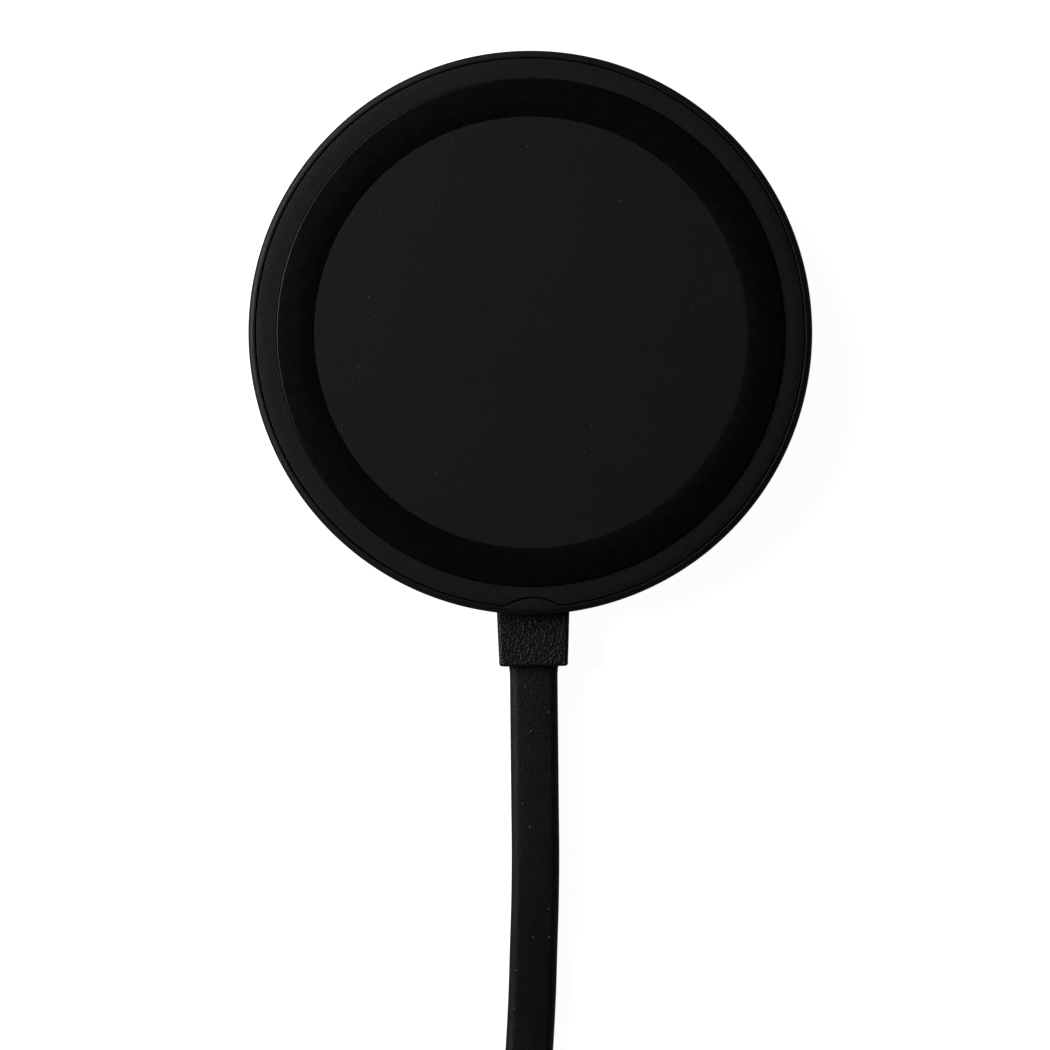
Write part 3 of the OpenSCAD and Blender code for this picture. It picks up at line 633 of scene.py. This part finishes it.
def plug_grip():
    """The moulded grip: a rounded oblong with a ribbed neck."""
    rings = []

    def section(y, w, h, r):
        rings.append([plug_place @ Vector((x, y, z)) for x, z in rounded_rect(w, h, r, 8)])

    neck_w, neck_h = 6.4 * MM, 3.2 * MM
    corner = 2.2 * MM
    ribs = 3
    section(0, neck_w - 0.5 * MM, neck_h - 0.5 * MM, 1.1 * MM)
    section(0.15 * MM, neck_w - 0.1 * MM, neck_h - 0.1 * MM, 1.2 * MM)
    for i in range(ribs):
        y = (0.4 + i * 1.15) * MM
        for dy, inset in ((0, 0), (0.6, 0), (0.72, 0.22), (0.98, 0.22)):
            section(y + dy * MM, neck_w - 2 * inset * MM, neck_h - 2 * inset * MM, 1.15 * MM)
    back_round, front_round = 0.9 * MM, 0.4 * MM
    for q in (0, 15, 30, 45, 60, 75, 90):
        inset = back_round * (1 - math.sin(math.radians(q)))
        section(NECK_L + back_round * (1 - math.cos(math.radians(q))), GRIP_W - 2 * inset,
                GRIP_H - 2 * inset, corner - inset * 0.4)
    for i in range(1, 12):
        section(NECK_L + back_round + (GRIP_L - 1.4 * MM) * i / 12, GRIP_W, GRIP_H, corner)
    for q in (90, 60, 30, 0):
        inset = front_round * (1 - math.sin(math.radians(q)))
        section(NECK_L + GRIP_L - front_round * (1 - math.cos(math.radians(q))),
                GRIP_W - 2 * inset, GRIP_H - 2 * inset, corner - inset)
    return sharpen(skin("plug_grip", rings), 50)


grip = plug_grip()


def plug_tube():
    """The drawn metal shell, open at the tip, with rolled lips."""
    w, h, wall = 8.25 * MM, 2.4 * MM, 0.25 * MM
    back, tip = NECK_L + GRIP_L - 4 * MM, NECK_L + GRIP_L + 6.65 * MM
    lip = wall / 2
    rings = []

    def section(y, inset):
        r = h / 2 - inset - 0.02 * MM
        rings.append([plug_place @ Vector((x, y, z))
                      for x, z in rounded_rect(w - 2 * inset, h - 2 * inset, r, 8)])

    section(back, 0)
    section(tip - 0.6 * MM, 0)
    for q in (0, 30, 60, 90, 120, 150, 180):
        section(tip - lip + lip * math.sin(math.radians(q)), lip - lip * math.cos(math.radians(q)))
    section(back, wall)
    return sharpen(skin("plug_tube", rings, closed=True), 50)


tube = plug_tube()
for piece, node, slot in ((grip, "plug_overmould", "plug_grip"), (tube, "plug_shell", "plug_steel")):
    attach(piece, "root")
    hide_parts(node)


# ---- Ties round the wound cable ----

def strap(name, node, angle):
    """A hook-and-loop strap drawn tight round all the turns, its end lapped over on top."""
    passed = (START - angle) % (2 * math.pi) / (2 * math.pi)
    strands = math.floor(WIND_TURNS - passed) + 1
    middle = OUTER - WIND_PITCH * (passed + (strands - 1) / 2)
    thick = 0.28 * MM
    half_w = 2.9 * MM
    w = (strands - 1) * WIND_PITCH + CABLE_T + 0.1 * MM + thick
    h = CABLE_W + thick
    place = Matrix.Translation((*CENTRE, 0)) @ Matrix.Rotation(angle, 4, "Z")
    # From the middle of the top, outwards and all the way round, then on over the start.
    loop = [Vector(p) for p in rounded_rect(w, h, 0.45 * MM, 5)]
    corner = loop[:6]
    line = [Vector((0, h / 2))] + corner[::-1] + loop[6:][::-1] + [Vector((0.3 * MM, h / 2))]
    lap_z = h / 2 + thick * 1.05
    line += [Vector((1.2 * MM, lap_z)), Vector((w / 2 - 0.5 * MM, lap_z))]
    n = len(line)
    rings = []
    for i in range(n):
        t = (line[min(i + 1, n - 1)] - line[max(i - 1, 0)]).normalized()
        out = Vector((-t.y, t.x))
        ring = []
        for s, o in ((-1, -0.5), (1, -0.5), (1, 0.5), (-1, 0.5)):
            p = line[i] + out * thick * o
            ring.append(place @ Vector((middle + p.x, s * half_w, WIND_AXIS_Z + p.y)))
        rings.append(ring)
    obj = skin(name, rings)
    bevel = obj.modifiers.new("edge", "BEVEL")
    bevel.width = 0.06 * MM
    bevel.segments = 2
    bevel.limit_method = "ANGLE"
    bevel.angle_limit = math.radians(60)
    apply_modifiers(obj)
    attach(obj, "root")
    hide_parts(node)
    return sharpen(obj, 40)


strap_1 = strap("tie_strap_1", "cable_tie_1", math.radians(35))
strap_2 = strap("tie_strap_2", "cable_tie_2", math.radians(215))


# ---- Materials of the outside ----

def soft_touch():
    s = Shader("soft_touch", specular=0.335)
    s.colour((0.0104, 0.0088, 0.0103), 0.05, 0.012)
    s.tint(s.spread(s.noise(0.00035, 3, 0.7), 0, 0.3, 0.4, 0.75), (0.014, 0.0138, 0.014))
    s.tint(s.specks(0.003), (0.12, 0.12, 0.12))
    s.roughen(0.54, 0.64, 0.006)
    s.bump(s.noise(0.00018, 3), 0.00007)
    return s


def gloss_black():
    s = Shader("gloss_black", specular=0.4)
    s.colour((0.0022, 0.0004, 0.0010), 0.2, 0.003)
    s.roughen(0.32, 0.38, 0.0009)
    s.bump(s.noise(0.00018, 3), 0.00003)
    return s


def casing_plastic():
    s = Shader("casing_plastic", specular=0.4)
    s.colour((0.0095, 0.0093, 0.0105), 0.08, 0.004)
    s.roughen(0.44, 0.56, 0.001)
    s.bump(s.noise(0.00016, 3), 0.00002)
    return s


def grained_elastomer():
    s = Shader("grained_elastomer", specular=0.5)
    s.colour((0.0118, 0.0116, 0.0128), 0.15, 0.0006)
    s.roughen(0.34, 0.5, 0.0004)
    s.bump(s.noise(0.00014, 3), 0.00004)
    return s


def cable_skin():
    s = Shader("cable_skin", specular=0.37)
    s.colour((0.0120, 0.0104, 0.0116), 0.06, 0.004)
    s.tint(s.specks(0.0015), (0.35, 0.35, 0.36))
    s.roughen(0.44, 0.54, 0.002)
    s.bump(s.noise(0.00018, 3), 0.0001)
    return s


def silicone():
    s = Shader("silicone", specular=0.4)
    s.colour((0.018, 0.018, 0.0185), 0.1, 0.004)
    s.roughen(0.6, 0.75, 0.002)
    s.bump(s.noise(0.0002, 2), 0.000006)
    return s


def hook_and_loop():
    s = Shader("hook_and_loop", specular=0.2)
    s.colour((0.03, 0.03, 0.031), 0.4, 0.0004)
    s.roughen(0.8, 0.95, 0.0006)
    s.bump(s.cells(0.00022), 0.00006)
    s.bump(s.noise(0.00008, 3), 0.00003)
    return s


def moulded_grip():
    s = Shader("moulded_grip", specular=0.45)
    s.colour((0.011, 0.011, 0.0115), 0.1, 0.003)
    s.roughen(0.45, 0.58, 0.001)
    s.bump(s.noise(0.00013, 2), 0.000006)
    return s


def drawn_steel():
    s = Shader("drawn_steel", metallic=1.0)
    s.colour((0.55, 0.56, 0.58), 0.06, 0.002)
    s.roughen(0.22, 0.32, 0.0012)
    s.bump(s.noise(0.0003, 2), 0.000001)
    return s


for piece, shader in ((panel, soft_touch()), (gloss_ring, gloss_black()), (housing, casing_plastic()),
                      (relief, grained_elastomer()), (cable, cable_skin()), (foot, silicone()),
                      (grip, moulded_grip()), (tube, drawn_steel())):
    dress(piece, shader)
webbing = hook_and_loop()
dress(strap_1, webbing)
dress(strap_2, webbing)


# ---- Materials of the inside ----

def plain(name, colour, roughness, metallic=0.0, vary=0.12, size=0.002, depth=0.000004):
    s = Shader(name, metallic=metallic)
    s.colour(colour, vary, size)
    s.roughen(max(roughness - 0.07, 0.03), min(roughness + 0.07, 1), size / 2)
    s.bump(s.noise(size / 8, 2), depth)
    return s


INSIDE = {
    "tape": plain("tape", (0.72, 0.70, 0.62), 0.55),
    "magnet_nickel": plain("magnet_nickel", (0.62, 0.63, 0.65), 0.22, 1.0, 0.05),
    "holder_plastic": plain("holder_plastic", (0.70, 0.68, 0.62), 0.5),
    "yoke_steel": plain("yoke_steel", (0.42, 0.43, 0.45), 0.35, 1.0, 0.1),
    "copper_litz": plain("copper_litz", (0.62, 0.27, 0.13), 0.35, 1.0, 0.2, 0.0006, 0.00002),
    "ferrite": plain("ferrite", (0.055, 0.056, 0.060), 0.6),
    "polyimide": plain("polyimide", (0.60, 0.28, 0.05), 0.2),
    "board_laminate": plain("board_laminate", (0.02, 0.13, 0.06), 0.3),
    "chip_resin": plain("chip_resin", (0.022, 0.022, 0.024), 0.55),
    "capacitor_ceramic": plain("capacitor_ceramic", (0.42, 0.32, 0.20), 0.5),
    "sensor_resin": plain("sensor_resin", (0.62, 0.36, 0.07), 0.3),
    "silicone_thermal": plain("silicone_thermal", (0.32, 0.42, 0.52), 0.7),
    "wire_red": plain("wire_red", (0.45, 0.02, 0.015), 0.4),
    "wire_black": plain("wire_black", (0.01, 0.01, 0.01), 0.4),
    "wire_green": plain("wire_green", (0.03, 0.22, 0.08), 0.4),
    "wire_white": plain("wire_white", (0.75, 0.75, 0.73), 0.4),
    "solder": plain("solder", (0.55, 0.56, 0.58), 0.25, 1.0, 0.08),
    "plug_liner": plain("plug_liner", (0.015, 0.015, 0.016), 0.45),
    "contact_gold": plain("contact_gold", (0.78, 0.55, 0.22), 0.22, 1.0, 0.06),
}
for row in frame["record"]["subparts"]:
    if row["material_slot"] in INSIDE:
        dress(nodes[row["node"]], INSIDE[row["material_slot"]])


# ---- Floor, light and world ----

FLOOR_HALF = 3
FLOOR_DROP = 0.01 * MM               # keeps it clear of the faces that stand on it

floor = mesh_object("floor", [(x * FLOOR_HALF, y * FLOOR_HALF, -FLOOR_DROP)
                              for x, y in ((-1, -1), (1, -1), (1, 1), (-1, 1))], [(0, 1, 2, 3)])
floor_shader = Shader("floor_card", roughness=0.9, specular=0.1)
floor_shader.colour((0.93, 0.93, 0.93), 0.01, 0.2)
floor_shader.bsdf.inputs["Emission Color"].default_value = (1, 1, 1, 1)
floor_shader.bsdf.inputs["Emission Strength"].default_value = 0.965
dress(floor, floor_shader)
floor.visible_glossy = False


SOFTBOX_SIDE = 0.13


def softbox(name, place, aim, power):
    """A lamp with a power in watts, which aims at a point."""
    data = bpy.data.lights.new(name, "AREA")
    data.shape = "RECTANGLE"
    data.size = data.size_y = SOFTBOX_SIDE
    data.energy = power
    data.spread = math.radians(90)
    lamp = bpy.data.objects.new(name, data)
    lamp.location = place
    lamp.rotation_euler = (Vector(aim) - Vector(place)).to_track_quat("-Z", "Y").to_euler()
    lamp.visible_camera = False
    bpy.context.scene.collection.objects.link(lamp)


softbox("key", (-0.2, 0.035, 0.14), (0, 0.01, 0), 0.082)
softbox("fill", (-0.13, 0.17, 0.14), (0, 0.02, 0), 0.03)

world = bpy.data.worlds.new("studio")
bpy.context.scene.world = world
world.use_nodes = True
tree = world.node_tree
# The light that comes from all round: strongest at the horizon, weak from GLOW_TOP upwards, which
# is the height of its direction, with 1 straight up.
GLOW_TOP = 0.45
GLOW_LOW, GLOW_HIGH = 0.07, 0.004
split = tree.nodes.new("ShaderNodeSeparateXYZ")
tree.links.new(tree.nodes.new("ShaderNodeTexCoord").outputs["Generated"], split.inputs["Vector"])
glow = tree.nodes.new("ShaderNodeMapRange")
glow.inputs["From Max"].default_value = GLOW_TOP
glow.inputs["To Min"].default_value = GLOW_LOW
glow.inputs["To Max"].default_value = GLOW_HIGH
tree.links.new(split.outputs["Z"], glow.inputs["Value"])
# To the eye, what is behind the object is pale.
card = tree.nodes.new("ShaderNodeMix")
card.data_type = "RGBA"
tree.links.new(tree.nodes.new("ShaderNodeLightPath").outputs["Is Camera Ray"],
               card.inputs["Factor"])
dim, pale = [socket for socket in card.inputs if socket.type == "RGBA"]
tree.links.new(glow.outputs["Result"], dim)
pale.default_value = (1, 1, 1, 1)
seen = [socket for socket in card.outputs if socket.type == "RGBA"][0]
tree.links.new(seen, tree.nodes["Background"].inputs["Color"])
bpy.context.scene.view_settings.view_transform = "Standard"
